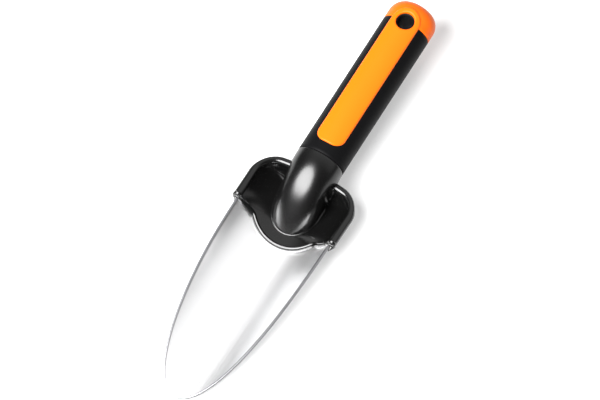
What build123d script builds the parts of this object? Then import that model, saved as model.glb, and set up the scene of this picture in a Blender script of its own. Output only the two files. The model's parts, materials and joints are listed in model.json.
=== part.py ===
"""Hand trowel: steel blade, moulded shoulder and neck, soft grip with an orange inlay and butt cap.

Frame: +X points at the blade's tip, +Y across the blade, +Z up out of the dish, z = 0 under the
shoulder. Millimetres. Stations are distances from the tip towards the butt, turned into X by at().
"""
import os
from math import cos, radians, sin, sqrt

from build123d import *

# ---- driving dimensions --------------------------------------------------------------------
overall_length = 298.0

dish_radius = 38.0           # upper face of the blade: a round channel along X
blade_thickness = 1.8
blade_half_width = 32.6
blade_taper_length = 140.0   # from the tip to the full width
blade_nose_power = 2.4       # the oval outline: 1 less the way left, to these powers
blade_side_power = 2.1
blade_length = 162.0         # its rear end is inside the shoulder
blade_rear_corner = 9.0
key_hole_radius = 4.0
key_hole_station = 151.0
key_hole_pitch = 21.0
key_hole_count = 3

shoulder_half_width = 36.5
shoulder_front = 130.0       # station of the scalloped front edge
rim_front = 131.5            # station where the raised rim ends
shoulder_rear = 171.5
shoulder_rear_bow = 4.5      # the middle of the rear wall stands this far behind its ends
shoulder_corner = 15.0
shoulder_skin = 2.2          # moulding over and under the blade
heel_radius = 13.0           # side view of the rear wall's underside
pocket_rear_radius = 14.0    # side view of the pockets' rear wall
rim_height = 21.0            # over the dish's lowest line, as all heights in this block
rim_width = 4.4
rim_round = 1.9
lobe_radius = 30.0           # round front edge before the neck
lobe_front = 120.3
lobe_root_round = 5.0
lobe_edge_round = 1.0
lip_length = 2.5             # pointed ends of the lower lip, ahead of the rim
lip_height = 18.2
lip_inset = 1.5

seam_station = 176.0         # neck meets grip
seam_gap = 0.3
handle_rise = 23.9           # height of the handle's axis at the seam
handle_tilt = 3.4            # degrees, rising towards the butt
grip_half_width = 16.0
grip_half_height = 14.0
core_half_width = 12.5
core_half_height = 10.5

# neck cross-sections from its nose to the seam: station, half width, lowest and highest point
neck_sections = [
    (131.2, 2.4, -2.0, 4.0),
    (133.0, 6.9, -5.0, 8.6),
    (137.0, 11.2, -8.0, 15.2),
    (143.0, 14.2, -10.0, 21.8),
    (151.0, 15.0, -8.0, 28.6),
    (160.0, 15.2, 1.0, 33.6),
    (168.0, 15.8, 7.0, 36.6),
]
neck_floor = 1.0             # moulding left under the neck's foot

hole_to_butt = 17.3
hole_radius = 5.0
liner_wall = 1.6
liner_top = 12.3             # over the handle's axis, as the inlay's seat
cap_parting_to_butt = 17.0
cap_spigot_length = 14.0
dome_length = 11.0
dome_sections = 7
dome_end_scale = 0.12        # the last dome section is a small flat
dome_fullness = 3.2

inlay_half_width = 9.5
inlay_start = 8.0            # from the seam to the inlay's lower end
inlay_lower_corner = 7.0
inlay_seat = 9.0
inlay_proud = 0.7
inlay_edge_round = 0.6
hole_edge_round = 1.6

tall = 90.0                  # more than any height or half width here
margin = 1.0                 # cuts and joins run past the part by this much
near = 0.1                   # edges are picked within this distance

# ---- values worked out from them -----------------------------------------------------------
tip_x = overall_length / 2
dish_floor = blade_thickness + shoulder_skin
tilt = radians(handle_tilt)
handle_length = (overall_length - seam_station) / cos(tilt)
hole_along = handle_length - hole_to_butt
parting_along = handle_length - cap_parting_to_butt
core_end_along = parting_along - cap_spigot_length
liner_radius = hole_radius + liner_wall
blade_under_radius = dish_radius + blade_thickness
skin_under_radius = blade_under_radius + shoulder_skin
skin_over_radius = dish_radius - shoulder_skin


def at(station):
    """X of a distance from the tip."""
    return tip_x - station


def handle_plane(along):
    """Cross-section plane of the handle: its normal runs to the butt and its y direction is up."""
    height = dish_floor + handle_rise + along * sin(tilt)
    origin = (at(seam_station) - along * cos(tilt), 0, height)
    return Plane(origin=origin, x_dir=(0, -1, 0), z_dir=(-cos(tilt), 0, sin(tilt)))


def handle_top_plane(height):
    """Plane along the handle at a height over its axis: x runs from the seam to the butt."""
    origin = (at(seam_station) + height * sin(tilt), 0, dish_floor + handle_rise + height * cos(tilt))
    return Plane(origin=origin, x_dir=(-cos(tilt), 0, sin(tilt)), z_dir=(sin(tilt), 0, cos(tilt)))


def blade_width_at(station):
    """Half the blade's width: a soft oval that reaches full width at the end of the taper."""
    left = max(0.0, 1 - station / blade_taper_length)
    return blade_half_width * (1 - left**blade_nose_power) ** (1 / blade_side_power)


def dish_bar(radius):
    """Round bar on the dish's axis, longer than the blade, for trimming parts to the dish."""
    place = Plane(origin=(tip_x - blade_length, 0, dish_floor + dish_radius), z_dir=(1, 0, 0))
    return place * Cylinder(radius, 2 * overall_length, mode=Mode.PRIVATE)


def scoop_profile(radius, low, rear_station):
    """Side view of a scoop: flat underneath, then a quarter round up to an upright rear wall."""
    start = (at(rear_station - radius), low)
    rise = (at(rear_station), low + radius)
    with BuildSketch(Plane.XZ.offset(-tall / 2)) as profile:
        with BuildLine():
            Line((tip_x, low), start)
            RadiusArc(start, rise, radius)
            Polyline(rise, (at(rear_station), tall / 2), (tip_x, tall / 2), (tip_x, low))
        make_face()
    return profile.sketch


def scoop_plan(half_width, front_station, rear_station, corner):
    """Plan of a scoop: straight front, parallel sides, round rear corners and a bowed rear."""
    front = (at(front_station), half_width)
    rear = (at(rear_station - shoulder_rear_bow), half_width)
    with BuildSketch(Plane.XY.offset(-tall / 2)) as plan:
        with BuildLine():
            Line((front[0], -front[1]), front)
            Line(front, rear)
            ThreePointArc(rear, (at(rear_station), 0), (rear[0], -rear[1]))
            Line((rear[0], -rear[1]), (front[0], -front[1]))
        make_face()
        fillet(plan.vertices().sort_by(Axis.X)[:2], radius=corner)
    return plan.sketch


# ---- blade ---------------------------------------------------------------------------------
edge_stations = [1.5, 6.0, 14.0, 28.0, 50.0, 80.0, 110.0, blade_taper_length]
right_edge = [(at(s), blade_width_at(s)) for s in edge_stations]
left_edge = [(x, -y) for x, y in reversed(right_edge)]

with BuildPart() as blade:
    with BuildSketch(Plane.XY.offset(-tall / 2)) as blade_outline:
        with BuildLine():
            Spline(*left_edge, (tip_x, 0), *right_edge)
            Polyline(
                right_edge[-1],
                (at(blade_length), blade_half_width),
                (at(blade_length), -blade_half_width),
                left_edge[0],
            )
        make_face()
        fillet(blade_outline.vertices().sort_by(Axis.X)[:2], radius=blade_rear_corner)
        with Locations((at(key_hole_station), 0)):
            with GridLocations(1, key_hole_pitch, 1, key_hole_count):
                Circle(key_hole_radius, mode=Mode.SUBTRACT)
    extrude(amount=tall)
    with BuildSketch(Plane.YZ.offset(at(blade_length + margin))):
        with Locations((0, dish_floor + dish_radius)):
            Circle(blade_under_radius)
            Circle(dish_radius, mode=Mode.SUBTRACT)
    extrude(amount=blade_length + 2 * margin, mode=Mode.INTERSECT)

# ---- spaces that the inlay, the liner and the hanging hole take ----------------------------
with BuildPart() as inlay_space:
    with BuildSketch(handle_top_plane(inlay_seat)) as inlay_outline:
        with Locations(((inlay_start + hole_along) / 2, 0)):
            Rectangle(hole_along - inlay_start, 2 * inlay_half_width)
        fillet(inlay_outline.vertices().sort_by(Axis.X)[:2], radius=inlay_lower_corner)
        with Locations((hole_along, 0)):
            Circle(inlay_half_width)
    extrude(amount=tall / 2)

with BuildPart() as liner_space:
    with BuildSketch(handle_top_plane(-tall / 2)):
        with Locations((hole_along, 0)):
            Circle(liner_radius)
    extrude(amount=tall / 2 + liner_top)

with BuildPart() as bore:
    with BuildSketch(handle_top_plane(-tall / 2)):
        with Locations((hole_along, 0)):
            Circle(hole_radius)
    extrude(amount=tall)

# ---- neck, in one piece with the core inside the grip --------------------------------------
with BuildPart() as neck_core:
    for station, half_width, low, high in neck_sections:
        with BuildSketch(Plane.YZ.offset(at(station))):
            with Locations((0, dish_floor + (low + high) / 2)):
                Ellipse(half_width, (high - low) / 2)
    with BuildSketch(handle_plane(0)):
        Ellipse(grip_half_width, grip_half_height)
    loft()
    add(dish_bar(dish_radius - neck_floor), mode=Mode.INTERSECT)
    with BuildSketch(handle_plane(0)):
        Ellipse(core_half_width, core_half_height)
    extrude(amount=core_end_along)
    add(inlay_space.part, mode=Mode.SUBTRACT)

# ---- shoulder, moulded round the rear of the blade -----------------------------------------
lobe_root = sqrt(lobe_radius**2 - (lobe_front + lobe_radius - shoulder_front) ** 2)
pocket_half_width = shoulder_half_width - rim_width
rim_z = dish_floor + rim_height

with BuildPart() as pocket:
    pocket_corner = shoulder_corner - rim_width / 2
    extrude(scoop_plan(pocket_half_width, 0, shoulder_rear - rim_width, pocket_corner), amount=tall)
    extrude(
        scoop_profile(pocket_rear_radius, dish_floor, shoulder_rear - rim_width),
        amount=tall, mode=Mode.INTERSECT,
    )
    add(dish_bar(skin_over_radius), mode=Mode.INTERSECT)

with BuildPart() as shoulder:
    with BuildSketch(Plane.XY.offset(-tall / 2)) as shoulder_outline:
        add(scoop_plan(shoulder_half_width, shoulder_front, shoulder_rear, shoulder_corner))
        with BuildLine():
            ThreePointArc((at(shoulder_front), -lobe_root), (at(lobe_front), 0), (at(shoulder_front), lobe_root))
            Line((at(shoulder_front), lobe_root), (at(shoulder_front), -lobe_root))
        make_face()
        lobe_ends = shoulder_outline.vertices().filter_by_position(Axis.Y, -lobe_root - near, lobe_root + near)
        fillet(lobe_ends, radius=lobe_root_round)
    extrude(amount=tall / 2 + rim_z)
    extrude(
        scoop_profile(heel_radius, 0, shoulder_rear),
        amount=tall, mode=Mode.INTERSECT,
    )
    add(dish_bar(skin_under_radius), mode=Mode.INTERSECT)
    rim_edges = shoulder.edges().filter_by_position(Axis.Z, rim_z - near, rim_z + near)
    fillet(rim_edges.filter_by_position(Axis.X, -tip_x, at(shoulder_front) - near), radius=rim_round)
    add(pocket.part, mode=Mode.SUBTRACT)
    lobe_edges = shoulder.edges().filter_by_position(Axis.X, at(lobe_front) - near, tip_x)
    fillet(lobe_edges.sort_by(Axis.Z)[-1], radius=lobe_edge_round)
    for side in (-1, 1):
        with BuildSketch(Plane.XY):
            with BuildLine():
                Polyline(
                    (at(shoulder_front + margin), side * shoulder_half_width),
                    (at(shoulder_front), side * shoulder_half_width),
                    (at(shoulder_front - lip_length), side * (shoulder_half_width - lip_inset)),
                    (at(shoulder_front + margin), side * pocket_half_width),
                    close=True,
                )
            make_face()
        extrude(amount=rim_z)
    add(dish_bar(skin_under_radius), mode=Mode.INTERSECT)
    with BuildSketch(Plane.XY.offset(dish_floor + lip_height)):
        with Locations((at(rim_front), 0)):
            Rectangle(tall, tall, align=(Align.MIN, Align.CENTER))
    extrude(amount=tall, mode=Mode.SUBTRACT)
    for held in (blade, neck_core):
        add(held.part, mode=Mode.SUBTRACT)

# ---- inlay, liner, sleeve and cap ----------------------------------------------------------
with BuildPart() as hanging_hole_liner:
    with BuildSketch(handle_plane(core_end_along)):
        Ellipse(grip_half_width, grip_half_height)
    extrude(amount=handle_length)
    add(liner_space.part, mode=Mode.INTERSECT)
    add(bore.part, mode=Mode.SUBTRACT)

with BuildPart() as top_inlay:
    with BuildSketch(handle_plane(0)):
        Ellipse(grip_half_width + inlay_proud, grip_half_height + inlay_proud)
    extrude(amount=handle_length)
    add(inlay_space.part, mode=Mode.INTERSECT)
    fillet(top_inlay.faces().sort_by(Axis.Z)[-1].edges(), radius=inlay_edge_round)
    for gap in (liner_space, bore):
        add(gap.part, mode=Mode.SUBTRACT)
    top_face = top_inlay.faces().sort_by(SortBy.AREA)[-1]
    fillet(top_face.inner_wires()[0].edges(), radius=hole_edge_round)

with BuildPart() as end_cap:
    for step in range(dome_sections):
        reach = step / (dome_sections - 1)
        fullness = max(dome_end_scale, (1 - reach**2) ** (1 / dome_fullness))
        with BuildSketch(handle_plane(handle_length - dome_length * (1 - reach))):
            Ellipse(grip_half_width * fullness, grip_half_height * fullness)
    loft()
    with BuildSketch(handle_plane(parting_along)):
        Ellipse(grip_half_width, grip_half_height)
    extrude(amount=cap_parting_to_butt - dome_length)
    with BuildSketch(handle_plane(core_end_along)):
        Ellipse(core_half_width, core_half_height)
    extrude(amount=cap_spigot_length)
    for held in (inlay_space, liner_space):
        add(held.part, mode=Mode.SUBTRACT)

with BuildPart() as grip_sleeve:
    with BuildSketch(handle_plane(seam_gap)):
        Ellipse(grip_half_width, grip_half_height)
    extrude(amount=parting_along - seam_gap)
    for held in (neck_core, end_cap, inlay_space, liner_space):
        add(held.part, mode=Mode.SUBTRACT)

# ---- export --------------------------------------------------------------------------------
os.makedirs("parts", exist_ok=True)
pieces = {
    "blade": blade,
    "shoulder": shoulder,
    "neck_core": neck_core,
    "grip_sleeve": grip_sleeve,
    "top_inlay": top_inlay,
    "end_cap": end_cap,
    "hanging_hole_liner": hanging_hole_liner,
}
for name, piece in pieces.items():
    piece.part.label = name
    export_step(piece.part, f"parts/{name}.step")
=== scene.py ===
import json
import math

import bmesh
import bpy
import numpy as np
from bpy.props import FloatProperty, FloatVectorProperty, PointerProperty
from mathutils import Matrix, Vector


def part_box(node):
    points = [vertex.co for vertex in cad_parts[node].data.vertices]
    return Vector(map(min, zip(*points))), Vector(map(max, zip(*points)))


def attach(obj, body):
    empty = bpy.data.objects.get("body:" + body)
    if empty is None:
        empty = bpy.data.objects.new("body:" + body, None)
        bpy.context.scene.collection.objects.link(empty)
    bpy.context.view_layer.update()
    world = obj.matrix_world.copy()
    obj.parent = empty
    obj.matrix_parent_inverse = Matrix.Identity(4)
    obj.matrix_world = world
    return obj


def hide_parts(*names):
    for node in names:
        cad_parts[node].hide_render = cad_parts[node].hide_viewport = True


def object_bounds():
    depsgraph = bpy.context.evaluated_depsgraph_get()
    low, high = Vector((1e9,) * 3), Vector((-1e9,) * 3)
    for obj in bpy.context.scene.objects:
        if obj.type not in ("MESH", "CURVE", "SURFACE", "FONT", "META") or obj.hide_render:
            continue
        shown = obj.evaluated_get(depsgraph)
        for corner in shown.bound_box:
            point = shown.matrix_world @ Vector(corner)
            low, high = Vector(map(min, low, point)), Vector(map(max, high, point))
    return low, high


bl_info = {
    "name": "Hand Trowel",
    "version": (1, 0, 0),
    "blender": (4, 5, 0),
    "location": "View3D > Sidebar > Trowel",
    "description": "Steel blade, moulded shoulder and neck, and a soft grip with an orange inlay",
    "category": "Add Mesh",
}

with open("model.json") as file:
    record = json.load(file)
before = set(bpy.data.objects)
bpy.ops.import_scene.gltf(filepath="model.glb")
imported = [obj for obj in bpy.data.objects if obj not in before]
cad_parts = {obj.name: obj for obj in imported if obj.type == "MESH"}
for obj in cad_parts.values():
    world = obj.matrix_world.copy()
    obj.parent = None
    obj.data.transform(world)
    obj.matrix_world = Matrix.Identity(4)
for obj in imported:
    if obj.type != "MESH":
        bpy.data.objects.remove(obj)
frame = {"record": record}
CAD_BOX = [list(corner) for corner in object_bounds()]

MM = 0.001
BODY = "root"
BLADE_THICKNESS = 1.8 * MM


# ---- places taken from the frame -----------------------------------------------------------
def hanging_hole():
    """The record's hanging hole: a point on its axis, the axis, and its radius."""
    for mount in frame["record"]["mounts"]:
        if mount["name"] == "hanging_hole":
            place = np.array(mount["pos_m"])
            axis = np.array(mount["axis"])
            return place, axis / np.linalg.norm(axis), mount["dims"]["r_mm"] * MM
    raise RuntimeError("the record has no hanging_hole mount")


HOLE_PLACE, HANDLE_UP, HOLE_RADIUS = hanging_hole()
HANDLE_ALONG = np.array((-HANDLE_UP[2], 0.0, HANDLE_UP[0]))
HANDLE_SIDE = np.array((0.0, 1.0, 0.0))
TIP_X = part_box("blade")[1].x
DISH_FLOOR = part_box("blade")[0].z + BLADE_THICKNESS
DISH_RADIUS = 38 * MM
DISH_AXIS_Z = DISH_FLOOR + DISH_RADIUS
GRIP_HALF_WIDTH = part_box("grip_sleeve")[1].y
GRIP_HALF_HEIGHT = 14 * MM
SEAM_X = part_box("grip_sleeve")[1].x - GRIP_HALF_HEIGHT * HANDLE_UP[0]
SEAM = HOLE_PLACE + HANDLE_ALONG * (HOLE_PLACE[0] - SEAM_X) / -HANDLE_ALONG[0]
HOLE_ALONG = (HOLE_PLACE[0] - SEAM[0]) / HANDLE_ALONG[0]
BUTT_MARGIN = 0.15 * MM
BUTT_ALONG = (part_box("end_cap")[0].x - SEAM[0]) / HANDLE_ALONG[0] - BUTT_MARGIN
PARTING_ALONG = HOLE_ALONG + 0.3 * MM
PARTING_GAP = 0.1 * MM
NOTCH_RADIUS = HOLE_RADIUS + 1.0 * MM
SECTION_TURNS = np.linspace(0, 2 * np.pi, 145)[:-1][None, :]


def at(station):
    """X of a distance from the blade's tip towards the butt."""
    return TIP_X - station


# ---- properties of the panel ---------------------------------------------------------------
def panel_length(name, description, millimetres):
    """A length that a user can change, given in millimetres."""
    return FloatProperty(name=name, description=description, default=millimetres * MM, unit="LENGTH")


def panel_angle(name, description, degrees):
    """An angle that a user can change, given in degrees."""
    angle = math.radians(degrees)
    return FloatProperty(name=name, description=description, default=angle, subtype="ANGLE")


def panel_colour(name, description, colour):
    """A colour that a user can change."""
    return FloatVectorProperty(
        name=name, description=description, default=colour, subtype="COLOR", min=0, max=1
    )


# ---- small tools ---------------------------------------------------------------------------
def smooth_step(value):
    """0 below 0, 1 above 1 and an S curve between them: 3v^2 - 2v^3."""
    v = np.clip(value, 0, 1)
    return v * v * (3 - 2 * v)


def soft_max(a, b, softness):
    """The larger of two heights, rounded over `softness` where they cross."""
    return 0.5 * (a + b + np.sqrt((a - b) ** 2 + softness**2))


def soft_min(a, b, softness):
    """The smaller of two heights, rounded over `softness` where they cross."""
    return -soft_max(-a, -b, softness)


def round_over(distance, radius):
    """How far a rounded edge lies under its flat: r - sqrt(r^2 - (r - d)^2) within r of the edge."""
    inside = np.clip(radius - distance, 0, radius)
    return radius - np.sqrt(radius**2 - inside**2)


def handle_point(along, side, up):
    """Point of the handle: a distance from the seam towards the butt, to the side, and up."""
    along, side, up = (values[..., None] for values in np.broadcast_arrays(along, side, up))
    return SEAM + along * HANDLE_ALONG + side * HANDLE_SIDE + up * HANDLE_UP


def grid_faces(rows, columns, close_rows, close_columns):
    """Quads of a grid of points, row after row."""
    i = np.arange(rows if close_rows else rows - 1)[:, None]
    j = np.arange(columns if close_columns else columns - 1)[None, :]
    i2 = (i + 1) % rows
    j2 = (j + 1) % columns
    quads = np.stack(
        [i * columns + j, i2 * columns + j, i2 * columns + j2, i * columns + j2], axis=-1
    )
    return quads.reshape(-1, 4)


def joined(grids):
    """Points and quads of several grids, each (points, close_rows, close_columns, fold).

    Points are rows x columns x 3. A quad whose corners are all in the optional fold mask is left out.
    """
    points, faces, count = [], [], 0
    for grid, close_rows, close_columns, *fold in grids:
        rows, columns = grid.shape[:2]
        points.append(grid.reshape(-1, 3))
        quads = grid_faces(rows, columns, close_rows, close_columns)
        if fold:
            quads = quads[~fold[0].ravel()[quads].all(axis=1)]
        faces.append(quads + count)
        count += rows * columns
    return np.concatenate(points), np.concatenate(faces)


def seal(mesh):
    """Welds the seams, drops what holds no face and turns the faces outwards."""
    work = bmesh.new()
    work.from_mesh(mesh)
    bmesh.ops.remove_doubles(work, verts=work.verts, dist=2e-6)
    bmesh.ops.dissolve_degenerate(work, edges=work.edges, dist=1e-7)
    bmesh.ops.delete(work, geom=[e for e in work.edges if not e.link_faces], context="EDGES")
    bmesh.ops.delete(work, geom=[v for v in work.verts if not v.link_faces], context="VERTS")
    bmesh.ops.recalc_face_normals(work, faces=work.faces)
    work.to_mesh(mesh)
    work.free()


def add_piece(name, grids, node, material, edge=None):
    """Makes one sealed mesh of several grids and hangs it on the frame. edge: 1 on edge points."""
    points, faces = joined(grids)
    mesh = bpy.data.meshes.new(name)
    mesh.vertices.add(len(points))
    mesh.vertices.foreach_set("co", points.astype(np.float32).ravel())
    mesh.loops.add(faces.size)
    mesh.loops.foreach_set("vertex_index", faces.astype(np.int32).ravel())
    mesh.polygons.add(len(faces))
    mesh.polygons.foreach_set("loop_start", np.arange(0, faces.size, 4, dtype=np.int32))
    mesh.update(calc_edges=True)
    if edge is not None:
        layer = mesh.attributes.new("edge", "FLOAT", "POINT")
        layer.data.foreach_set("value", edge.astype(np.float32).ravel())
    seal(mesh)
    mesh.shade_smooth()
    piece = bpy.data.objects.new(name, mesh)
    bpy.context.scene.collection.objects.link(piece)
    mesh.materials.append(material)
    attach(piece, BODY)
    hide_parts(node)
    return piece


def closed_rows(rows):
    """Closes a tube of rows at both ends, each with one more row drawn in to a point."""
    first = np.broadcast_to(rows[0].mean(axis=0), rows[0].shape)[None]
    last = np.broadcast_to(rows[-1].mean(axis=0), rows[-1].shape)[None]
    return np.concatenate([first, rows, last])


# ---- materials -----------------------------------------------------------------------------
def new_material(name):
    """A node material with one shader on its output: the material, its nodes, links and shader."""
    material = bpy.data.materials.new(name)
    material.use_nodes = True
    nodes = material.node_tree.nodes
    nodes.clear()
    output = nodes.new("ShaderNodeOutputMaterial")
    shader = nodes.new("ShaderNodeBsdfPrincipled")
    material.node_tree.links.new(shader.outputs["BSDF"], output.inputs["Surface"])
    return material, nodes, material.node_tree.links, shader


def object_coordinates(nodes, links, scale):
    """Object coordinates stretched by `scale`, so a pattern can run along the tool."""
    source = nodes.new("ShaderNodeTexCoord")
    mapping = nodes.new("ShaderNodeMapping")
    mapping.inputs["Scale"].default_value = scale
    links.new(source.outputs["Object"], mapping.inputs["Vector"])
    return mapping.outputs["Vector"]


def noise(nodes, links, vector, scale):
    """A noise pattern's 0 to 1 value."""
    node = nodes.new("ShaderNodeTexNoise")
    node.inputs["Scale"].default_value = scale
    node.inputs["Detail"].default_value = 3.0
    links.new(vector, node.inputs["Vector"])
    return node.outputs["Fac"]


def ramp(nodes, links, value, low, high, to_low, to_high, curve="LINEAR"):
    """Maps a value from one range to another."""
    node = nodes.new("ShaderNodeMapRange")
    node.interpolation_type = curve
    limits = {"From Min": low, "From Max": high, "To Min": to_low, "To Max": to_high}
    for socket, number in limits.items():
        node.inputs[socket].default_value = number
    links.new(value, node.inputs["Value"])
    return node.outputs["Result"]


def combine(nodes, links, a, b, operation):
    """Two values multiplied or added."""
    node = nodes.new("ShaderNodeMath")
    node.operation = operation
    links.new(a, node.inputs[0])
    links.new(b, node.inputs[1])
    return node.outputs["Value"]


def bump(nodes, links, shader, height, strength, distance):
    """Feeds a height pattern to the shader's normal."""
    node = nodes.new("ShaderNodeBump")
    node.inputs["Strength"].default_value = strength
    node.inputs["Distance"].default_value = distance
    links.new(height, node.inputs["Height"])
    links.new(node.outputs["Normal"], shader.inputs["Normal"])


def two_tone(nodes, links, value, dark, light):
    """Colour between two tones by a 0 to 1 value."""
    node = nodes.new("ShaderNodeMix")
    node.data_type = "RGBA"
    node.inputs["A"].default_value = (*dark, 1)
    node.inputs["B"].default_value = (*light, 1)
    links.new(value, node.inputs["Factor"])
    return node.outputs["Result"]


def polished_steel(colour):
    """Polished stainless steel with faint grinding lines along the blade, and painted shade: a dark grey
    band along its rounded edge.
    """
    material, nodes, links, shader = new_material("polished_steel")
    shader.inputs["Metallic"].default_value = 1.0
    lines = noise(nodes, links, object_coordinates(nodes, links, (12, 1500, 1500)), 1.0)
    clouds = noise(nodes, links, object_coordinates(nodes, links, (1, 1, 1)), 45.0)
    tone = two_tone(nodes, links, clouds, [c * 0.94 for c in colour], colour)
    # Painted shade: the points marked by the mesh's "edge" attribute, on the blade's rounded edge, are
    # coloured dark grey.
    painted_edge_shade = nodes.new("ShaderNodeAttribute")
    painted_edge_shade.attribute_name = "edge"
    edge_shade_mix = nodes.new("ShaderNodeMix")
    edge_shade_mix.data_type = "RGBA"
    edge_shade_mix.inputs["B"].default_value = (0.26, 0.26, 0.27, 1)
    links.new(painted_edge_shade.outputs["Fac"], edge_shade_mix.inputs["Factor"])
    links.new(tone, edge_shade_mix.inputs["A"])
    links.new(edge_shade_mix.outputs["Result"], shader.inputs["Base Color"])
    links.new(ramp(nodes, links, lines, 0.3, 0.7, 0.34, 0.42), shader.inputs["Roughness"])
    bump(nodes, links, shader, lines, 0.05, 0.02 * MM)
    return material


def glossy_moulding(name, colour, roughness, gloss):
    """Glossy moulded plastic: dark, with a barely uneven surface."""
    material, nodes, links, shader = new_material(name)
    shader.inputs["Specular IOR Level"].default_value = gloss
    swirl = noise(nodes, links, object_coordinates(nodes, links, (1, 1, 1)), 60.0)
    tone = two_tone(nodes, links, swirl, [c * 0.7 for c in colour], colour)
    polish = ramp(nodes, links, swirl, 0.3, 0.7, roughness * 0.9, roughness * 1.1)
    links.new(tone, shader.inputs["Base Color"])
    links.new(polish, shader.inputs["Roughness"])
    bump(nodes, links, shader, swirl, 0.02, 0.1 * MM)
    return material


def soft_rubber(name, colour):
    """Satin soft-touch rubber with a fine grain."""
    material, nodes, links, shader = new_material(name)
    shader.inputs["Specular IOR Level"].default_value = 0.05
    plain = object_coordinates(nodes, links, (1, 1, 1))
    grain = noise(nodes, links, plain, 2600.0)
    cloud = noise(nodes, links, plain, 70.0)
    links.new(two_tone(nodes, links, cloud, [c * 0.8 for c in colour], colour), shader.inputs["Base Color"])
    links.new(ramp(nodes, links, grain, 0.3, 0.7, 0.42, 0.56), shader.inputs["Roughness"])
    bump(nodes, links, shader, grain, 0.25, 0.05 * MM)
    return material


def orange_moulding(name, colour):
    """Satin orange plastic with fine spark-eroded grain and slight flow shading."""
    material, nodes, links, shader = new_material(name)
    shader.inputs["Specular IOR Level"].default_value = 0.12
    plain = object_coordinates(nodes, links, (1, 1, 1))
    grain = noise(nodes, links, plain, 1800.0)
    flow = noise(nodes, links, object_coordinates(nodes, links, (0.3, 1, 1)), 55.0)
    deep = (colour[0] * 0.97, colour[1] * 0.9, colour[2] * 0.8)
    links.new(two_tone(nodes, links, flow, deep, colour), shader.inputs["Base Color"])
    links.new(ramp(nodes, links, grain, 0.3, 0.7, 0.34, 0.44), shader.inputs["Roughness"])
    bump(nodes, links, shader, grain, 0.12, 0.04 * MM)
    return material


# ---- blade ---------------------------------------------------------------------------------
class BladeSizes(bpy.types.PropertyGroup):
    thickness: FloatProperty(
        name="Thickness", description="Sheet thickness", default=BLADE_THICKNESS, unit="LENGTH"
    )
    taper: panel_length("Taper", "From the tip to the full width", 140)
    rear_corner: panel_length("Rear corner", "Corner radius inside the shoulder", 9)
    colour: panel_colour("Colour", "Steel", (0.95, 0.95, 0.955))


def blade_half_outline(length, half_width, taper, corner):
    """Right half of the blank: soft oval from the tip, straight side, round corner, rear edge.

    The oval is w (1 - (1 - s / taper)^a)^(1 / b), with s the distance from the tip, a the nose
    power and b the side power. Its points crowd towards the tip.
    """
    nose_power, side_power, crowding = 2.4, 2.1, 2.2
    nose = taper * np.linspace(0, 1, 120) ** crowding
    nose_width = half_width * (1 - np.abs(1 - nose / taper) ** nose_power) ** (1 / side_power)
    turn = np.radians(np.linspace(0, 90, 12))
    corner_station = length - corner + corner * np.sin(turn)
    corner_width = half_width - corner + corner * np.cos(turn)
    rear_width = np.linspace(half_width - corner, 0, 12)[1:]
    station = np.concatenate([nose, corner_station, np.full(rear_width.shape, length)])
    width = np.concatenate([nose_width, corner_width, rear_width])
    return station, width


def blade_surface(sizes):
    """A flat plate with a rounded edge, rolled onto a round bar.

    Each row runs from edge to edge through one point of the middle line: over the top, round one
    edge, back underneath and round the other. The blank is then bent: across becomes an angle round
    the dish's axis, and thickness a change of radius.
    """
    length = TIP_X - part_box("blade")[0].x
    half_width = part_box("blade")[1].y
    station, width = blade_half_outline(length, half_width, sizes.taper, sizes.rear_corner)
    middle_radius = DISH_RADIUS + sizes.thickness / 2
    across = middle_radius * np.arcsin(width / DISH_RADIUS)
    step = np.stack([np.gradient(station), np.gradient(across)])
    step /= np.linalg.norm(step, axis=0)
    step[:, 0], step[:, -1] = (0, 1), (0, -1)
    out_station, out_across = -step[1], step[0]
    edge = sizes.thickness / 2
    inner_station = station - edge * out_station
    inner_across = np.maximum(across - edge * out_across, 0)
    first_middle = 14 * MM  # the tip's row starts this far in, and the next ones catch up
    last_middle = length - 15 * MM
    spine = np.minimum(station + first_middle * np.exp(-station / first_middle), last_middle)
    v = np.linspace(-1, 1, 61)
    turn = np.radians(np.linspace(90, -90, 11))[1:-1]
    columns = []
    for share, height in [(v, edge), (v[::-1], -edge)]:
        s = spine[:, None] + np.abs(share) * (inner_station - spine)[:, None]
        a = share * inner_across[:, None]
        columns.append((s, a, np.full(s.shape, height)))
        side = np.sign(share[-1])
        s = inner_station[:, None] + edge * np.cos(turn) * out_station[:, None]
        a = side * (inner_across[:, None] + edge * np.cos(turn) * out_across[:, None])
        columns.append((s, a, np.broadcast_to(np.sign(height) * edge * np.sin(turn), s.shape)))
    s, a, lift = (np.concatenate(parts, axis=1) for parts in zip(*columns))
    angle = a / middle_radius
    radius = middle_radius - lift
    points = np.stack([at(s), radius * np.sin(angle), DISH_AXIS_Z - radius * np.cos(angle)], axis=-1)
    flat = np.abs(v) < 1
    # Marks the points of the rounded edge, which the steel colours dark grey as painted shade.
    painted_edge_shade = np.concatenate([~flat, np.ones(turn.shape, bool)] * 2)
    return points, np.broadcast_to(painted_edge_shade, s.shape)


class TROWEL_OT_blade(bpy.types.Operator):
    """Adds the polished blade"""

    bl_idname = "trowel.blade"
    bl_label = "Blade"

    def execute(self, context):
        sizes = context.scene.trowel_blade
        points, edge = blade_surface(sizes)
        grids = [(points, False, True)]
        add_piece("polished_blade", grids, "blade", polished_steel(sizes.colour), edge)
        return {"FINISHED"}


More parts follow.
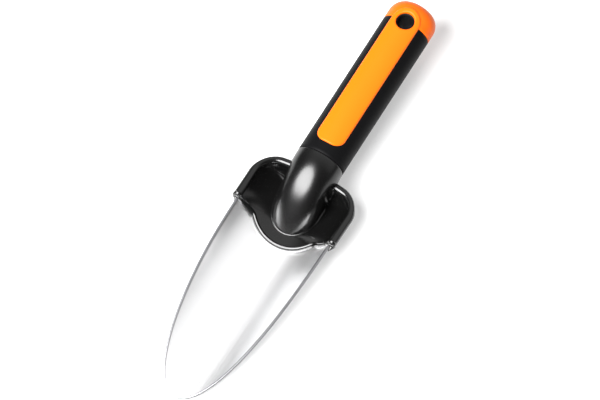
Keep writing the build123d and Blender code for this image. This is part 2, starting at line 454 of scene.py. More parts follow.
# ---- shoulder ------------------------------------------------------------------------------
class ShoulderSizes(bpy.types.PropertyGroup):
    lobe_radius: panel_length("Lobe radius", "Round front edge before the neck", 30)
    lobe_front: panel_length("Lobe front", "From the tip to the lobe", 120.3)
    scallop: panel_length("Scallop", "From the tip to the hollow front edge", 130)
    rim_front: panel_length("Rim front", "From the tip to the rim's ends", 131.6)
    corner: panel_length("Corner", "Rear corner radius", 15)
    rear_bow: panel_length("Rear bow", "Bow of the rear wall", 4.5)
    rim_radius: panel_length("Rim radius", "Radius of the rolled rim", 2.7)
    skin: panel_length("Skin", "Moulding over the blade", 2.2)
    pocket_radius: panel_length("Pocket radius", "Round foot of the rear wall", 13.5)
    heel_radius: panel_length("Heel radius", "Round underside of the rear wall", 13)
    colour: panel_colour("Colour", "Black", (0.003, 0.003, 0.003))


def rear_station(sizes, side):
    """Station of the bowed rear wall at a distance to the side: full length less a parabola."""
    low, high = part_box("shoulder")
    return at(low.x) - sizes.rear_bow * (side / high.y) ** 2


def rim_distance(sizes, station, side):
    """Distance in from the wall of a box with round rear corners and an open front."""
    half_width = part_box("shoulder")[1].y
    past_x = station - (rear_station(sizes, side) - sizes.corner)
    past_y = np.abs(side) - (half_width - sizes.corner)
    outside = np.hypot(np.maximum(past_x, 0), np.maximum(past_y, 0))
    inside = np.minimum(np.maximum(past_x, past_y), 0)
    return sizes.corner - outside - inside


def pocket_rise(sizes, station, side, inset, radius):
    """Height of a round-footed wall over its floor: r - sqrt(r^2 - q^2), q the way into the foot.

    In a corner q is (x^p + y^p)^(1 / p), a little squarer than a circle.
    """
    power = 2.6
    half_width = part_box("shoulder")[1].y
    into_x = np.maximum(station - (rear_station(sizes, side) - inset - radius), 0)
    into_y = np.maximum(np.abs(side) - (half_width - inset - radius), 0)
    into = np.minimum((into_x**power + into_y**power) ** (1 / power), radius)
    return radius - np.sqrt(radius**2 - into**2)


def shoulder_top(sizes, station, side):
    """Upper face: the blade's dish plus a skin, run into a round-footed rear wall, with a rolled rim.

    The rim is a half round, sqrt(r^2 - (r - d)^2) over its spring line, d from the outer wall.
    """
    thinned, thin_from = 0.9 * MM, 16 * MM  # the skin gets thinner towards the blade's edges
    floor_below, pocket_below, gap_below = 2.0 * MM, 1.2 * MM, 3.2 * MM  # under the rim's top
    pocket_start, pocket_run = 138 * MM, 14 * MM
    floor_blend, wall_blend, rim_blend = 0.6 * MM, 1.6 * MM, 0.5 * MM
    rim_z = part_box("shoulder")[1].z
    skin = sizes.skin - thinned * smooth_step((np.abs(side) - thin_from) / thin_from)
    dish_radius = DISH_RADIUS - skin
    dish = DISH_AXIS_Z - np.sqrt(np.maximum(dish_radius**2 - side**2, 0))
    floor = soft_min(dish, rim_z - floor_below, floor_blend)
    rise = pocket_rise(sizes, station, side, 2 * sizes.rim_radius, sizes.pocket_radius)
    wall = DISH_FLOOR + sizes.skin + rise * smooth_step((station - pocket_start) / pocket_run)
    pocket = soft_max(floor, wall, wall_blend)
    distance = rim_distance(sizes, station, side)
    radius = sizes.rim_radius
    across = np.clip(distance, 0, 2 * radius)
    rim = rim_z - radius + np.sqrt(np.maximum(radius**2 - (radius - across) ** 2, 0))
    low = rim_z - gap_below
    rim = low + (rim - low) * smooth_step((station - sizes.rim_front) / rim_blend + 0.5)
    raised = np.maximum(rim, np.minimum(pocket, rim_z - pocket_below))
    return np.where(distance < 2 * radius, raised, pocket)


def shoulder_under(sizes, station, side):
    """Lower face: a larger round bar round the blade, run into the heel's round underside."""
    heel_blend = 0.8 * MM
    radius = DISH_RADIUS + BLADE_THICKNESS + sizes.skin
    dish = DISH_AXIS_Z - np.sqrt(radius**2 - side**2)
    heel = pocket_rise(sizes, station, 0.0, 0.0, sizes.heel_radius)
    return soft_max(dish, heel, heel_blend)


def shoulder_half_outline(sizes):
    """Right half of the plan: lobe arc, hollow root, scallop, front corner, side, corner, bowed rear.

    Returns station, side, and the number of the front edge's last point.
    """
    half_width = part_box("shoulder")[1].y
    centre = sizes.lobe_front + sizes.lobe_radius
    root, front_corner = 5 * MM, 0.9 * MM
    slant_depth, slant_run = 1.0 * MM, 10 * MM
    # the root arc touches the lobe's circle outside and the scallop's line
    root_station = sizes.scallop - root
    root_side = math.sqrt((sizes.lobe_radius + root) ** 2 - (centre - root_station) ** 2)
    touch = math.atan2(root_side, centre - root_station)
    lobe = np.linspace(0, touch, 60)
    parts = [(centre - sizes.lobe_radius * np.cos(lobe), sizes.lobe_radius * np.sin(lobe))]
    turn = np.linspace(touch, 0, 14)[1:]
    parts.append((root_station + root * np.cos(turn), root_side - root * np.sin(turn)))
    scallop = np.linspace(root_side, half_width - front_corner, 46)[1:]
    slant = slant_depth * smooth_step((scallop - root_side) / slant_run)
    parts.append((sizes.scallop + slant, scallop))
    end_station = sizes.scallop + slant_depth
    turn = np.radians(np.linspace(0, 90, 8))[1:]
    parts.append((
        end_station + front_corner * (1 - np.cos(turn)),
        half_width - front_corner + front_corner * np.sin(turn),
    ))
    corner_start = rear_station(sizes, half_width) - sizes.corner
    crowded_to = end_station + 3 * MM  # points lie closer together behind the front corner
    near = np.linspace(end_station + front_corner, crowded_to, 14)[1:]
    far = np.linspace(crowded_to, corner_start, 30)[1:]
    straight = np.concatenate([near, far])
    parts.append((straight, np.full(straight.shape, half_width)))
    turn = np.radians(np.linspace(0, 90, 26))[1:]
    side = half_width - sizes.corner + sizes.corner * np.cos(turn)
    bow = rear_station(sizes, side) - rear_station(sizes, half_width)
    parts.append((corner_start + (sizes.corner + bow) * np.sin(turn), side))
    side = np.linspace(half_width - sizes.corner, 0, 30)[1:]
    parts.append((rear_station(sizes, side), side))
    station, side = (np.concatenate(values) for values in zip(*parts))
    front = sum(len(part[0]) for part in parts[:3]) - 1
    return station, side, front


def line_distance(station, side, line_station, line_side):
    """Distance from each point to the nearest of a line's segments, the foot kept within the segment."""
    along = np.diff(line_station)
    across = np.diff(line_side)
    from_station = station[..., None] - line_station[:-1]
    from_side = side[..., None] - line_side[:-1]
    foot = np.clip((from_station * along + from_side * across) / (along**2 + across**2), 0, 1)
    return np.hypot(from_station - foot * along, from_side - foot * across).min(axis=-1)


def shoulder_surface(sizes):
    """Each row fans out from the middle line to one point of the outline, goes down and comes back.

    Heights come from shoulder_top and shoulder_under. Along the front edge lies a bead,
    b exp(-((d - m) / w)^2) high at a distance d from it, and the edge itself is rounded.
    """
    middle_from, middle_to = 140 * MM, 156 * MM
    fine_band = 6.2 * MM  # columns lie closer together this far in from the outline
    bead_height, bead_middle, bead_width = 0.65 * MM, 1.9 * MM, 0.6 * MM
    edge_radius = 0.4 * MM
    station, side, front = shoulder_half_outline(sizes)
    front_station = np.concatenate([station[front:0:-1], station[: front + 1]])
    front_side = np.concatenate([-side[front:0:-1], side[: front + 1]])
    station = np.concatenate([station, station[-2:0:-1]])
    side = np.concatenate([side, -side[-2:0:-1]])
    spine = np.clip(station, middle_from, middle_to)
    step_x = np.roll(station, -1) - np.roll(station, 1)
    step_y = np.roll(side, -1) - np.roll(side, 1)
    size = np.hypot(step_x, step_y)
    reach = np.abs(((station - spine) * -step_y + side * step_x) / size)[:, None]
    near = np.linspace(0, fine_band, 42)
    far = np.linspace(0, 1, 30)[:-1] ** 0.9
    share = np.concatenate([far * (1 - near[-1] / reach), 1 - near[::-1] / reach], axis=1)
    s = spine[:, None] + share * (station - spine)[:, None]
    y = share * side[:, None]
    distance = line_distance(s, y, front_station, front_side)
    top = shoulder_top(sizes, s, y)
    bead = bead_height * np.exp(-(((distance - bead_middle) / bead_width) ** 2))
    top = top + bead - round_over(distance, edge_radius)
    bottom = shoulder_under(sizes, s, y)
    wall = np.linspace(0, 1, 7)[1:-1]
    wall_z = top[:, -1:] + wall * (bottom[:, -1:] - top[:, -1:])
    wall_s = np.broadcast_to(s[:, -1:], wall_z.shape)
    wall_y = np.broadcast_to(y[:, -1:], wall_z.shape)
    s = np.concatenate([s, wall_s, s[:, ::-1]], axis=1)
    y = np.concatenate([y, wall_y, y[:, ::-1]], axis=1)
    z = np.concatenate([top, wall_z, bottom[:, ::-1]], axis=1)
    return np.stack([at(s), y, z], axis=-1)


def squared(wave):
    """A sine or cosine drawn out towards 1 and -1, for a round section with squarer sides."""
    return np.sign(wave) * np.abs(wave) ** 0.7


def lip_point(sizes, hand):
    """Pointed end of the lower lip: oval sections along the blade's edge, drawn in to a point.

    k goes from 0 at the root to 1 at the point, and a half size is its value at the root times
    (1 - k) to a power.
    """
    overlap, length = 1.2 * MM, 4.6 * MM
    inset, drift_in = 2.2 * MM, 0.5 * MM
    height, drift_down = 16.2 * MM, 0.6 * MM
    root_half_width, root_half_height = 2.1 * MM, 1.9 * MM
    k = np.linspace(0, 1, 16)[:, None]
    turn = np.radians(np.linspace(0, 360, 25))[:-1][None, :]
    half_width = root_half_width * (1 - k) ** 0.8
    half_height = root_half_height * (1 - k) ** 0.7
    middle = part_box("shoulder")[1].y - (inset + drift_in * k)
    y = hand * (middle + half_width * squared(np.cos(turn)))
    z = DISH_FLOOR + height - drift_down * k + half_height * squared(np.sin(turn))
    x = np.broadcast_to(at(sizes.rim_front + overlap - length * k), y.shape)
    return closed_rows(np.stack([x, y, z], axis=-1))


class TROWEL_OT_shoulder(bpy.types.Operator):
    """Adds the moulded shoulder with its rolled rim, lip points and the bead round the neck's foot"""

    bl_idname = "trowel.shoulder"
    bl_label = "Shoulder"

    def execute(self, context):
        sizes = context.scene.trowel_shoulder
        bead = foot_bead(context.scene.trowel_neck, sizes)
        grids = [(shoulder_surface(sizes), True, False), (bead, False, True)]
        grids += [(lip_point(sizes, hand), False, True) for hand in (-1, 1)]
        material = glossy_moulding("gloss_black_shoulder", sizes.colour, roughness=0.16, gloss=0.42)
        add_piece("shoulder_shell", grids, "shoulder", material)
        return {"FINISHED"}


# ---- neck ----------------------------------------------------------------------------------
class NeckSizes(bpy.types.PropertyGroup):
    front: panel_length("Front", "From the tip to the neck's nose", 131)
    nose_length: panel_length("Nose length", "Rounded front in plan", 18)
    half_width: panel_length("Half width", "Behind the nose", 15)
    bead_radius: panel_length("Bead radius", "Bead round the neck's foot", 1.0)
    colour: panel_colour("Colour", "Black", (0.003, 0.003, 0.003))


def neck_share(sizes, station):
    """0 at the neck's nose, 1 at the seam."""
    return (station - sizes.front) / (TIP_X - SEAM[0] - sizes.front)


def belly_power(share):
    """Power of the lower half section: 0.5, squarish, towards the nose, and 1, an ellipse, at the seam."""
    return 1.0 - 0.5 * (1 - smooth_step((share - 0.55) / 0.45))


def neck_section(sizes, station):
    """Half width, highest, widest and lowest heights of the neck at a station.

    The nose is a quarter ellipse in plan. The top is the handle's top line less a power of the
    way to the seam, and the underside sinks into the shoulder.
    """
    nose_height, waist_height = 3.6 * MM, 4 * MM  # over the dish's floor
    lowest, sink, low_blend = 1.8 * MM, 30 * MM, 2 * MM
    crown_margin = 1.0 * MM
    seam_station = TIP_X - SEAM[0]
    t = np.clip(neck_share(sizes, station), 0, 1)
    slope = HANDLE_ALONG[2] / -HANDLE_ALONG[0]
    axis = SEAM[2] + (station - seam_station) * slope
    nose = np.clip((sizes.front + sizes.nose_length - station) / sizes.nose_length, 0, 1)
    width = sizes.half_width * np.sqrt(1 - nose**2)
    width = width + (GRIP_HALF_WIDTH - sizes.half_width) * smooth_step((t - 0.6) / 0.25)
    start_line = SEAM[2] + (sizes.front - seam_station) * slope + GRIP_HALF_HEIGHT
    top = axis + GRIP_HALF_HEIGHT - (start_line - DISH_FLOOR - nose_height) * (1 - t) ** 2.25
    low = soft_max(axis - GRIP_HALF_HEIGHT - sink * (1 - t) ** 1.3, lowest, low_blend * (1 - t))
    waist = DISH_FLOOR + waist_height
    middle = np.minimum(waist + (axis - waist) * smooth_step(t), top - crown_margin)
    return width, top, middle, low


def neck_surface(sizes):
    """Tube of sections along the neck, ending in a flat face at the seam.

    The section is an ellipse, |cos|^p and |sin|^p times its half sizes, with p under 1 where it is
    fuller: halfway along the top, and below towards the nose. It leans with the handle at the seam.
    """
    nose_gap = 0.05 * MM
    edge, inner_face = 0.35 * MM, 0.6
    first = sizes.front + nose_gap
    station = first + (TIP_X - SEAM[0] - first) * np.linspace(0, 1, 90) ** 1.7
    width, top, middle, low = (values[:, None] for values in neck_section(sizes, station))
    t = neck_share(sizes, station)[:, None]
    turn = np.radians(np.linspace(0, 360, 121))[:-1][None, :]
    cos, sin = np.cos(turn), np.sin(turn)
    crown = 1.0 - 0.16 * np.sin(np.pi * t) ** 2
    power = np.where(sin > 0, crown, belly_power(t))
    y = width * np.sign(cos) * np.abs(cos) ** power
    z = middle + np.where(sin > 0, top - middle, low - middle) * np.abs(sin) ** power
    x = at(station)[:, None] + (z - middle) * HANDLE_UP[0] * t**3
    rows = np.stack([x, y, z], axis=-1)
    face = SEAM + (rows[-1:] - SEAM) * (1 - edge / GRIP_HALF_HEIGHT)
    rows[-1] -= HANDLE_ALONG * edge
    return closed_rows(np.concatenate([rows, face, SEAM + (rows[-1:] - SEAM) * inner_face]))


def foot_bead(sizes, shoulder):
    """Round bead along the line where the neck's side meets the shoulder's upper face.

    The line's distance to the side is found by turns: the shoulder's height there, then the
    neck's half width at that height.
    """
    nose_gap, raised, last_station = 0.02 * MM, 0.15 * MM, 166 * MM
    q = np.linspace(-1, 1, 161)
    station = sizes.front + nose_gap + (last_station - sizes.front) * np.abs(q) ** 1.9
    width, _, middle, low = neck_section(sizes, station)
    power = 2 / belly_power(neck_share(sizes, station))
    side = width
    for _ in range(12):
        height = shoulder_top(shoulder, station, side)
        depth = np.clip((middle - height) / (middle - low), 0, 1)
        side = width * (1 - depth**power) ** (1 / power)
    path = np.stack([at(station), np.sign(q) * side, height + raised], axis=-1)
    along = np.gradient(path, axis=0)
    along /= np.linalg.norm(along, axis=1)[:, None]
    out = np.cross(along, (0.0, 0.0, 1.0))
    out /= np.linalg.norm(out, axis=1)[:, None]
    over = np.cross(out, along)
    turn = np.radians(np.linspace(0, 360, 15))[:-1][None, :, None]
    ring = np.cos(turn) * out[:, None, :] + np.sin(turn) * over[:, None, :]
    return closed_rows(path[:, None, :] + sizes.bead_radius * ring)


class TROWEL_OT_neck(bpy.types.Operator):
    """Adds the bulging neck"""

    bl_idname = "trowel.neck"
    bl_label = "Neck"

    def execute(self, context):
        sizes = context.scene.trowel_neck
        grids = [(neck_surface(sizes), False, True)]
        material = glossy_moulding("gloss_black_neck", sizes.colour, roughness=0.25, gloss=0.38)
        add_piece("neck_boss", grids, "neck_core", material)
        return {"FINISHED"}


# ---- grip ----------------------------------------------------------------------------------
class GripSizes(bpy.types.PropertyGroup):
    core_half_width: panel_length("Core half width", "Inside of the sleeve", 12.5)
    core_half_height: panel_length("Core half height", "Inside of the sleeve", 10.5)
    edge: panel_length("Edge", "Rounded ends of the sleeve", 0.35)
    colour: panel_colour("Colour", "Black", (0.003, 0.003, 0.0033))


def notch(side):
    """Half length of the round notch for the liner at a distance to the side: sqrt(r^2 - y^2)."""
    return np.sqrt(np.maximum(NOTCH_RADIUS**2 - side**2, 0))


def sleeve_surface(sizes):
    """Hollow tube of ellipses: rows along the outside, over the parting end, back inside.

    The parting end follows the hanging hole, so a half notch is left for it.
    """
    start = 0.3 * MM
    edge = sizes.edge
    side = GRIP_HALF_WIDTH * np.cos(SECTION_TURNS)
    up = GRIP_HALF_HEIGHT * np.sin(SECTION_TURNS)
    inner_side = sizes.core_half_width * np.cos(SECTION_TURNS)
    inner_up = sizes.core_half_height * np.sin(SECTION_TURNS)
    drawn_side = side * (1 - edge / GRIP_HALF_WIDTH)
    drawn_up = up * (1 - edge / GRIP_HALF_HEIGHT)
    end = PARTING_ALONG - PARTING_GAP - notch(side)
    inner_end = PARTING_ALONG - PARTING_GAP - notch(inner_side)
    along = start + edge + (end - start - 2 * edge) * np.linspace(0, 1, 60)[:, None]
    return np.concatenate([
        handle_point(start, drawn_side, drawn_up),
        handle_point(along, side, up),
        handle_point(end, drawn_side, drawn_up),
        handle_point(inner_end, inner_side, inner_up),
        handle_point(start, inner_side, inner_up),
    ])


class TROWEL_OT_grip(bpy.types.Operator):
    """Adds the soft grip sleeve"""

    bl_idname = "trowel.grip"
    bl_label = "Soft grip"

    def execute(self, context):
        sizes = context.scene.trowel_grip
        grids = [(sleeve_surface(sizes), True, True)]
        material = soft_rubber("soft_black", sizes.colour)
        add_piece("soft_grip", grids, "grip_sleeve", material)
        return {"FINISHED"}


# ---- butt cap ------------------------------------------------------------------------------
class CapSizes(bpy.types.PropertyGroup):
    dome: panel_length("Dome", "Length of the rounded end", 11)
    # The cap is the inlay's orange plastic. Its colour is darker than the inlay's as painted shade.
    colour: panel_colour("Colour", "Orange", (0.66, 0.105, 0.003))


def cap_surface(sizes):
    """Cup from a point inside to the parting line, along the outside and over the domed end.

    In the dome the section is scaled by (1 - u^2)^(1 / f), u the way into it and f its fullness.
    """
    edge, fullness, least_step = 0.3 * MM, 3.2, 0.1 * MM
    inner_width, inner_height, floor_depth = 0.72, 0.7, 4 * MM  # widths as shares of the outside
    side = GRIP_HALF_WIDTH * np.cos(SECTION_TURNS)
    up = GRIP_HALF_HEIGHT * np.sin(SECTION_TURNS)
    inner_side = side * inner_width
    shrink = 1 - edge / GRIP_HALF_HEIGHT
    start = PARTING_ALONG + PARTING_GAP + notch(side)
    inner_start = PARTING_ALONG + PARTING_GAP + notch(inner_side)
    dome_start = BUTT_ALONG - sizes.dome
    first = start + edge
    q = np.linspace(0, 1, 8)[:-1, None]
    skirt = first + (np.maximum(dome_start, first + least_step) - first) * q
    u = np.sin(np.linspace(0, 0.5 * np.pi, 40))[:, None]
    full = (1 - u**2) ** (1 / fullness)
    dome = np.maximum(dome_start + sizes.dome * u, first + least_step * (1 - u))
    return np.concatenate([
        handle_point(dome_start + floor_depth, 0 * side, 0.0),
        handle_point(inner_start, inner_side, up * inner_height),
        handle_point(start, side * shrink, up * shrink),
        handle_point(skirt, side, up),
        handle_point(dome, side * full, up * full),
    ])


class TROWEL_OT_cap(bpy.types.Operator):
    """Adds the orange butt cap"""

    bl_idname = "trowel.cap"
    bl_label = "Butt cap"

    def execute(self, context):
        sizes = context.scene.trowel_cap
        grids = [(cap_surface(sizes), False, True)]
        material = orange_moulding("orange_cap", sizes.colour)
        add_piece("butt_cap", grids, "end_cap", material)
        return {"FINISHED"}


# ---- inlay ---------------------------------------------------------------------------------
class InlaySizes(bpy.types.PropertyGroup):
    half_width: panel_length("Half width", "Half the inlay's width", 9.5)
    start: panel_length("Start", "From the seam to the inlay", 8)
    lower_corner: panel_length("Lower corner", "Corner radius of the lower end", 7)
    proud: panel_length("Proud", "Height over the grip", 0.7)
    edge: panel_length("Edge", "Edge rounding", 1.0)
    hole_edge: panel_length("Hole edge", "Rounding of the hole's mouth", 1.3)
    hole_step: panel_length("Hole step", "Mouth wider than the liner", 0.8)
    colour: panel_colour("Colour", "Orange", (0.70, 0.122, 0.003))


def inlay_curves(sizes):
    """Outline of the inlay and the matching inner line: down the middle, then round the hole.

    Both are closed curves with the same number of points, in distances along and to the side.
    """
    w = sizes.half_width
    corner = sizes.lower_corner
    spread = 15 * MM  # the last stretch before the hole, matched with its near half
    slit_start = sizes.start + 9 * MM
    mouth = HOLE_RADIUS + sizes.hole_step
    slit_end = HOLE_ALONG - mouth
    # right half, from the middle of the lower end to the top of the hole
    lower = np.linspace(0, w - corner, 8)
    out_x, out_y = [np.full(8, sizes.start)], [lower]
    turn = np.radians(np.linspace(0, 90, 16))[1:]
    out_x.append(sizes.start + corner * (1 - np.cos(turn)))
    out_y.append(w - corner + corner * np.sin(turn))
    straight = np.linspace(sizes.start + corner, HOLE_ALONG - spread, 90)[1:]
    out_x.append(straight)
    out_y.append(np.full(straight.shape, w))
    x, y = np.concatenate(out_x), np.concatenate(out_y)
    way = (x - sizes.start - corner) / (HOLE_ALONG - spread - sizes.start - corner)
    inner_x = np.clip(slit_start + way * (slit_end - slit_start), slit_start, slit_end)
    inner_y = np.zeros(x.shape)
    share = np.linspace(0, 1, 30)[1:]
    x = np.concatenate([x, HOLE_ALONG - spread * (1 - share)])
    y = np.concatenate([y, np.full(share.shape, w)])
    angle = np.radians(180 - 90 * share)
    inner_x = np.concatenate([inner_x, HOLE_ALONG + mouth * np.cos(angle)])
    inner_y = np.concatenate([inner_y, mouth * np.sin(angle)])
    angle = np.radians(np.linspace(90, 0, 36))[1:]
    x = np.concatenate([x, HOLE_ALONG + w * np.cos(angle)])
    y = np.concatenate([y, w * np.sin(angle)])
    inner_x = np.concatenate([inner_x, HOLE_ALONG + mouth * np.cos(angle)])
    inner_y = np.concatenate([inner_y, mouth * np.sin(angle)])

    def mirrored(values, sign):
        return np.concatenate([values, sign * values[-2:0:-1]])

    return mirrored(x, 1), mirrored(y, -1), mirrored(inner_x, 1), mirrored(inner_y, -1)


def inlay_surface(sizes):
    """Crowned strip: ellipse section over the grip, rounded at its outline and into the hole.

    Each row goes up the hole's wall, out to one point of the outline and down to the seat. Along
    the middle there is no hole, so the walls of the slit lie on each other and are left out.
    """
    seat, mouth_floor = 9 * MM, 12.4 * MM  # over the handle's axis
    tolerance = 0.01 * MM
    x, y, inner_x, inner_y = (values[:, None] for values in inlay_curves(sizes))
    # distance from the inner line to the outline, measured square to the outline
    step_x = np.roll(x, -1, axis=0) - np.roll(x, 1, axis=0)
    step_y = np.roll(y, -1, axis=0) - np.roll(y, 1, axis=0)
    square = np.abs((x - inner_x) * step_y - (y - inner_y) * step_x) / np.hypot(step_x, step_y)
    edge = sizes.edge
    near = edge * (1 - np.cos(np.linspace(0, 0.5 * np.pi, 9)))
    share_near = 1 - near[::-1][None, :] / square
    body = np.linspace(0, 1, 28)[:-1][None, :] * share_near[:, :1]
    share = np.concatenate([body, share_near], axis=1)
    px = inner_x + share * (x - inner_x)
    py = inner_y + share * (y - inner_y)
    half_w = GRIP_HALF_WIDTH + sizes.proud
    half_h = GRIP_HALF_HEIGHT + sizes.proud
    height = half_h * np.sqrt(1 - (py / half_w) ** 2)
    from_hole = np.hypot(px - HOLE_ALONG, py) - HOLE_RADIUS - sizes.hole_step
    height = height - round_over(np.maximum(from_hole, 0), sizes.hole_edge)
    height = height - round_over((1 - share) * square, edge)
    wall = np.array([[0.35, 0.7, 1.0]])
    wall_z = height[:, -1:] + (seat - height[:, -1:]) * wall
    bore = wall[:, ::-1]
    bore_low = np.where(np.abs(from_hole[:, :1]) < tolerance, mouth_floor, seat)
    bore_z = height[:, :1] + (bore_low - height[:, :1]) * bore
    px = np.concatenate([inner_x + 0 * bore, px, x + 0 * wall], axis=1)
    py = np.concatenate([inner_y + 0 * bore, py, y + 0 * wall], axis=1)
    pz = np.concatenate([bore_z, height, wall_z], axis=1)
    fold = np.zeros(px.shape, bool)
    fold[:, : bore.size + 1] = np.abs(inner_y) < 0.1 * tolerance
    return handle_point(px, py, pz), True, True, fold


class TROWEL_OT_inlay(bpy.types.Operator):
    """Adds the orange inlay with the mouth of the hanging hole"""

    bl_idname = "trowel.inlay"
    bl_label = "Inlay"

    def execute(self, context):
        sizes = context.scene.trowel_inlay
        grids = [inlay_surface(sizes)]
        material = orange_moulding("orange_inlay", sizes.colour)
        add_piece("top_strip", grids, "top_inlay", material)
        return {"FINISHED"}


# ---- liner ---------------------------------------------------------------------------------
class LinerSizes(bpy.types.PropertyGroup):
    wall: panel_length("Wall", "Wall of the tube", 1.6)
    top: panel_length("Top", "Height over the handle's axis", 12.3)
    colour: panel_colour("Colour", "Black", (0.004, 0.004, 0.0045))


def liner_surface(sizes):
    """Tube round the hole's axis: inside down, over the lower rim, outside up and over the top.

    The lower rim follows the grip's ellipse, -h sqrt(1 - (y / w)^2), and lies a little inside it.
    """
    inner_margin, top_edge, inner_drop, outer_drop = 0.02 * MM, 0.3 * MM, 0.5 * MM, 0.4 * MM
    turn = np.radians(np.linspace(0, 360, 97))[:-1][None, :]
    inner, outer = HOLE_RADIUS - inner_margin, HOLE_RADIUS + sizes.wall
    middle = 0.5 * (inner + outer)

    def grip_underside(radius):
        return -GRIP_HALF_HEIGHT * np.sqrt(1 - (radius * np.sin(turn) / GRIP_HALF_WIDTH) ** 2)

    top = sizes.top - top_edge
    inner_low = grip_underside(inner) + inner_drop
    outer_low = grip_underside(outer) + outer_drop
    way = np.linspace(0, 1, 12)[:, None]
    height = np.concatenate([
        top + (inner_low - top) * way,
        grip_underside(middle),
        outer_low + (top - outer_low) * way,
        np.full(turn.shape, sizes.top),
    ])
    radius = np.repeat((inner, middle, outer, middle), (way.size, 1, way.size, 1))[:, None]
    return handle_point(HOLE_ALONG + radius * np.cos(turn), radius * np.sin(turn), height)


class TROWEL_OT_liner(bpy.types.Operator):
    """Adds the tube that lines the hanging hole"""

    bl_idname = "trowel.liner"
    bl_label = "Hole liner"

    def execute(self, context):
        sizes = context.scene.trowel_liner
        grids = [(liner_surface(sizes), True, True)]
        material = glossy_moulding("black_liner", sizes.colour, roughness=0.55, gloss=0.1)
        add_piece("hole_liner", grids, "hanging_hole_liner", material)
        return {"FINISHED"}


# ---- stage ---------------------------------------------------------------------------------
class StageSizes(bpy.types.PropertyGroup):
    distance: FloatProperty(
        name="Distance", description="Camera to the tool's middle", default=8.0, unit="LENGTH"
    )
    lens: FloatProperty(name="Lens", description="Focal length", default=776.6, unit="CAMERA")
    azimuth: panel_angle("Azimuth", "From +X towards +Y", 29.84)
    elevation: panel_angle("Elevation", "Over the floor", 61.16)
    roll: panel_angle("Roll", "Turn about the line of sight", 0.76)
    floor: panel_colour("Floor", "Floor colour", (0.5, 0.5, 0.5))


def disc_light(name, place, target, diameter, power):
    """A soft round light at a place, turned to a target."""
    light = bpy.data.lights.new(name, "AREA")
    light.shape = "DISK"
    light.size = diameter
    light.energy = power
    lamp = bpy.data.objects.new(name, light)
    bpy.context.scene.collection.objects.link(lamp)
    lamp.location = place
    lamp.rotation_mode = "QUATERNION"
    lamp.rotation_quaternion = (Vector(target) - Vector(place)).to_track_quat("-Z", "Y")


def studio_world():
    """Dim room with a glow along its horizon and one wide soft panel behind the butt.

    The panel is the product of three soft edges, each from the outside (0) to the inside (1).
    """
    panel_edges = (("X", 0.05, -0.40), ("Y", -1.0, -0.35), ("Z", 0.05, 0.55))
    room_glow, panel_glow, horizon_glow = 0.05, 1.15, 0.30
    horizon_top, horizon_low = 0.12, 0.02
    world = bpy.data.worlds.new("studio")
    world.use_nodes = True
    nodes, links = world.node_tree.nodes, world.node_tree.links
    source = nodes.new("ShaderNodeTexCoord")
    split = nodes.new("ShaderNodeSeparateXYZ")
    links.new(source.outputs["Generated"], split.inputs["Vector"])
    panel = None
    for axis, outside, inside in panel_edges:
        edge = ramp(nodes, links, split.outputs[axis], outside, inside, 0.0, 1.0, "SMOOTHSTEP")
        panel = edge if panel is None else combine(nodes, links, panel, edge, "MULTIPLY")
    height = split.outputs["Z"]
    horizon = ramp(nodes, links, height, horizon_top, horizon_low, 0.0, horizon_glow, "SMOOTHSTEP")
    room = ramp(nodes, links, panel, 0.0, 1.0, room_glow, panel_glow)
    strength = combine(nodes, links, room, horizon, "ADD")
    links.new(strength, nodes["Background"].inputs["Strength"])
    nodes["Background"].inputs["Color"].default_value = (1, 1, 1, 1)
    return world


def make_camera(sizes):
    """Long lens that looks down at the tool from beyond its tip and one side.

    It aims at the box's middle, moved by a step in the tool's axes and one in the view's.
    """
    aim_step = Vector((-1.85, 0.2, -3.76)) * MM
    view_step = Vector((0.16, -1.11, 0)) * MM
    low, high = (Vector(corner) for corner in CAD_BOX)
    a, e = sizes.azimuth, sizes.elevation
    back = Vector((math.cos(a) * math.cos(e), math.sin(a) * math.cos(e), math.sin(e)))
    turn = (-back).to_track_quat("-Z", "Y").to_matrix() @ Matrix.Rotation(sizes.roll, 3, "Z")
    target = (low + high) / 2 + aim_step + turn @ view_step
    camera = bpy.data.cameras.new("camera")
    camera.sensor_width = 36.0
    camera.lens = sizes.lens
    camera.clip_start, camera.clip_end = 0.1, 40.0
    holder = bpy.data.objects.new("camera", camera)
    bpy.context.scene.collection.objects.link(holder)
    holder.rotation_mode = "QUATERNION"
    holder.rotation_quaternion = turn.to_quaternion()
    holder.location = target + back * sizes.distance
    bpy.context.scene.camera = holder


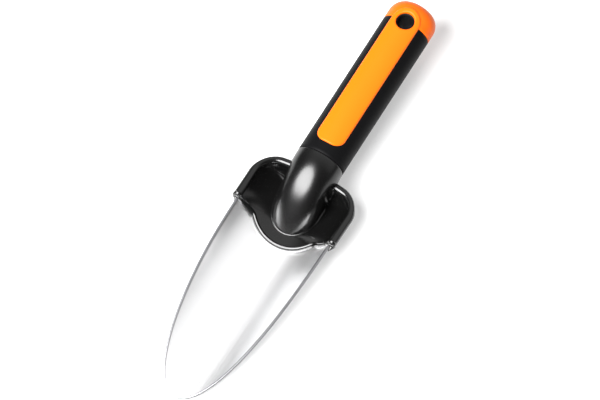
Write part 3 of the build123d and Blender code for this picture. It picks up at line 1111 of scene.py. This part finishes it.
class TROWEL_OT_stage(bpy.types.Operator):
    """Adds the floor, the room, the light and the camera"""

    bl_idname = "trowel.stage"
    bl_label = "Stage"

    def execute(self, context):
        sizes = context.scene.trowel_stage
        floor_gap = 0.2 * MM
        half = 3.0
        mesh = bpy.data.meshes.new("floor")
        corners = [(-half, -half, 0), (half, -half, 0), (half, half, 0), (-half, half, 0)]
        mesh.from_pydata(corners, [], [(0, 1, 2, 3)])
        floor = bpy.data.objects.new("floor", mesh)
        floor.location.z = CAD_BOX[0][2] - floor_gap
        context.scene.collection.objects.link(floor)
        material, _, _, shader = new_material("floor_paper")
        shader.inputs["Base Color"].default_value = (*sizes.floor, 1)
        shader.inputs["Roughness"].default_value = 0.9
        shader.inputs["Specular IOR Level"].default_value = 0.1
        shader.inputs["Emission Color"].default_value = (1, 1, 1, 1)
        shader.inputs["Emission Strength"].default_value = 0.42
        mesh.materials.append(material)
        context.scene.world = studio_world()
        context.scene.view_settings.view_transform = "Standard"
        place, target = (0.66, -0.27, 0.96), (0, 0, 0.02)
        disc_light("neck_glow", place, target, diameter=1.0, power=68)
        make_camera(sizes)
        return {"FINISHED"}


# ---- panel, registration and the run -------------------------------------------------------
class TROWEL_PT_panel(bpy.types.Panel):
    bl_label = "Hand Trowel"
    bl_idname = "TROWEL_PT_panel"
    bl_space_type = "VIEW_3D"
    bl_region_type = "UI"
    bl_category = "Trowel"

    def draw(self, context):
        for operator in OPERATORS:
            self.layout.operator(operator.bl_idname)


GROUPS = {
    "trowel_blade": BladeSizes,
    "trowel_shoulder": ShoulderSizes,
    "trowel_neck": NeckSizes,
    "trowel_grip": GripSizes,
    "trowel_cap": CapSizes,
    "trowel_inlay": InlaySizes,
    "trowel_liner": LinerSizes,
    "trowel_stage": StageSizes,
}
OPERATORS = (
    TROWEL_OT_stage,
    TROWEL_OT_blade,
    TROWEL_OT_shoulder,
    TROWEL_OT_neck,
    TROWEL_OT_grip,
    TROWEL_OT_cap,
    TROWEL_OT_inlay,
    TROWEL_OT_liner,
)


def register():
    for name, group in GROUPS.items():
        bpy.utils.register_class(group)
        setattr(bpy.types.Scene, name, PointerProperty(type=group))
    for operator in OPERATORS:
        bpy.utils.register_class(operator)
    bpy.utils.register_class(TROWEL_PT_panel)


def unregister():
    bpy.utils.unregister_class(TROWEL_PT_panel)
    for operator in reversed(OPERATORS):
        bpy.utils.unregister_class(operator)
    for name, group in GROUPS.items():
        delattr(bpy.types.Scene, name)
        bpy.utils.unregister_class(group)


def main():
    register()
    for operator in OPERATORS:
        group, action = operator.bl_idname.split(".")
        getattr(getattr(bpy.ops, group), action)()
    bpy.context.view_layer.update()


if __name__ == "__main__":
    main()
